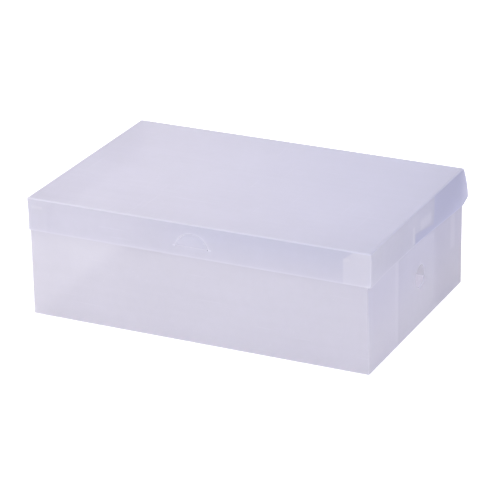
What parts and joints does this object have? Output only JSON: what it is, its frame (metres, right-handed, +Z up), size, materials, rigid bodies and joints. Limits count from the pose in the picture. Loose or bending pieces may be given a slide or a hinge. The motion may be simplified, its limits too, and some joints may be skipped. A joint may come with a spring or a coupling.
{
  "type": "shoe box",
  "caption": "Folding shoe box of thin milky translucent plastic sheet with a creased flip lid, tuck tabs, thumb tongue and end finger holes.",
  "frame": {"origin": "middle of the closed box on the plane it stands on", "axes": "+X along the box to its right end, +Y to the rear wall that carries the lid's crease, +Z up; the thumb tongue faces -Y"},
  "size_m": [0.3388, 0.22, 0.113],
  "materials": {
    "base_sheet": "milky translucent sheet, satin",
    "lid_sheet": "milky translucent sheet, satin"
  },
  "bodies": {
    "base": {"bottom_panel": "base_sheet", "front_wall": "base_sheet", "rear_wall": "base_sheet", "left_end_wall": "base_sheet", "right_end_wall": "base_sheet", "front_left_corner_flap": "base_sheet", "front_right_corner_flap": "base_sheet", "rear_left_corner_flap": "base_sheet", "rear_right_corner_flap": "base_sheet"},
    "lid": {"lid_top": "lid_sheet"},
    "front_skirt": {"front_skirt": "lid_sheet"},
    "thumb_tongue": {"thumb_tongue": "lid_sheet"},
    "left_skirt": {"left_end_skirt": "lid_sheet", "left_corner_tab": "lid_sheet"},
    "right_skirt": {"right_end_skirt": "lid_sheet", "right_corner_tab": "lid_sheet"}
  },
  "joints": [
    {"name": "lid_hinge", "type": "hinge", "parent": "base", "child": "lid", "pos_m": [0, 0.11, 0.113], "axis": [-1, 0, 0], "range_deg": [0, 210]},
    {"name": "front_skirt_fold", "type": "hinge", "parent": "lid", "child": "front_skirt", "pos_m": [0, -0.11, 0.113], "axis": [-1, 0, 0], "range_deg": [0, 90], "stiffness_Nm_per_rad": 0.01},
    {"name": "left_skirt_fold", "type": "hinge", "parent": "lid", "child": "left_skirt", "pos_m": [-0.165, 0, 0.113], "axis": [0, 1, 0], "range_deg": [0, 90], "stiffness_Nm_per_rad": 0.01},
    {"name": "right_skirt_fold", "type": "hinge", "parent": "lid", "child": "right_skirt", "pos_m": [0.165, 0, 0.113], "axis": [0, -1, 0], "range_deg": [0, 90], "stiffness_Nm_per_rad": 0.01},
    {"name": "thumb_tongue_flex", "type": "hinge", "parent": "front_skirt", "child": "thumb_tongue", "pos_m": [0, -0.1097, 0.0915], "axis": [1, 0, 0], "range_deg": [-40, 30], "stiffness_Nm_per_rad": 0.004}
  ]
}
